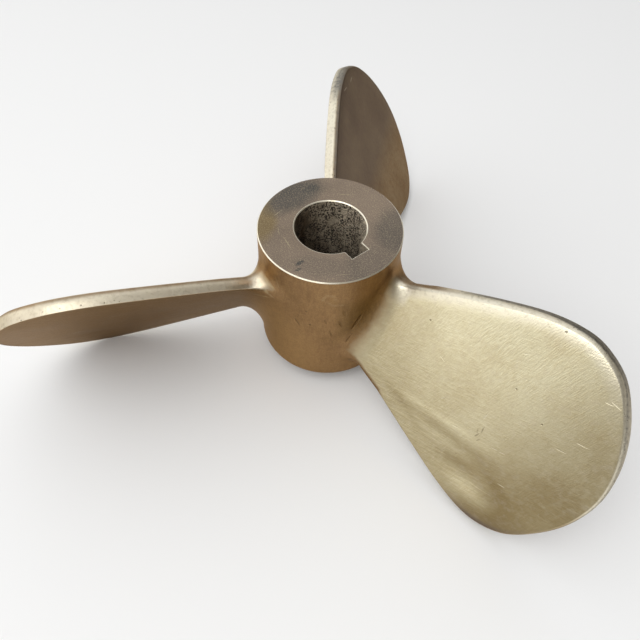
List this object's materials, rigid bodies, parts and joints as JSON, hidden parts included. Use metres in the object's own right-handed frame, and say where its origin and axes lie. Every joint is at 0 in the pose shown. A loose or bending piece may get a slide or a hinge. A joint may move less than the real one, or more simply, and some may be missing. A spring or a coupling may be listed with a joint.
{
  "type": "ship propeller",
  "caption": "Cast bronze ship propeller: broad, steeply set blades in one piece with a cylindrical hub that has a plain keyed shaft bore.",
  "frame": {"origin": "on the shaft axis, halfway along the hub", "axes": "+Z along the shaft axis, out of the hub's machined face with the bright chamfer; +Y along one blade"},
  "size_m": [0.4061, 0.3656, 0.1396],
  "materials": {
    "cast_bronze": "satin"
  },
  "bodies": {
    "root": {"propeller_casting": "cast_bronze"}
  },
  "joints": []
}
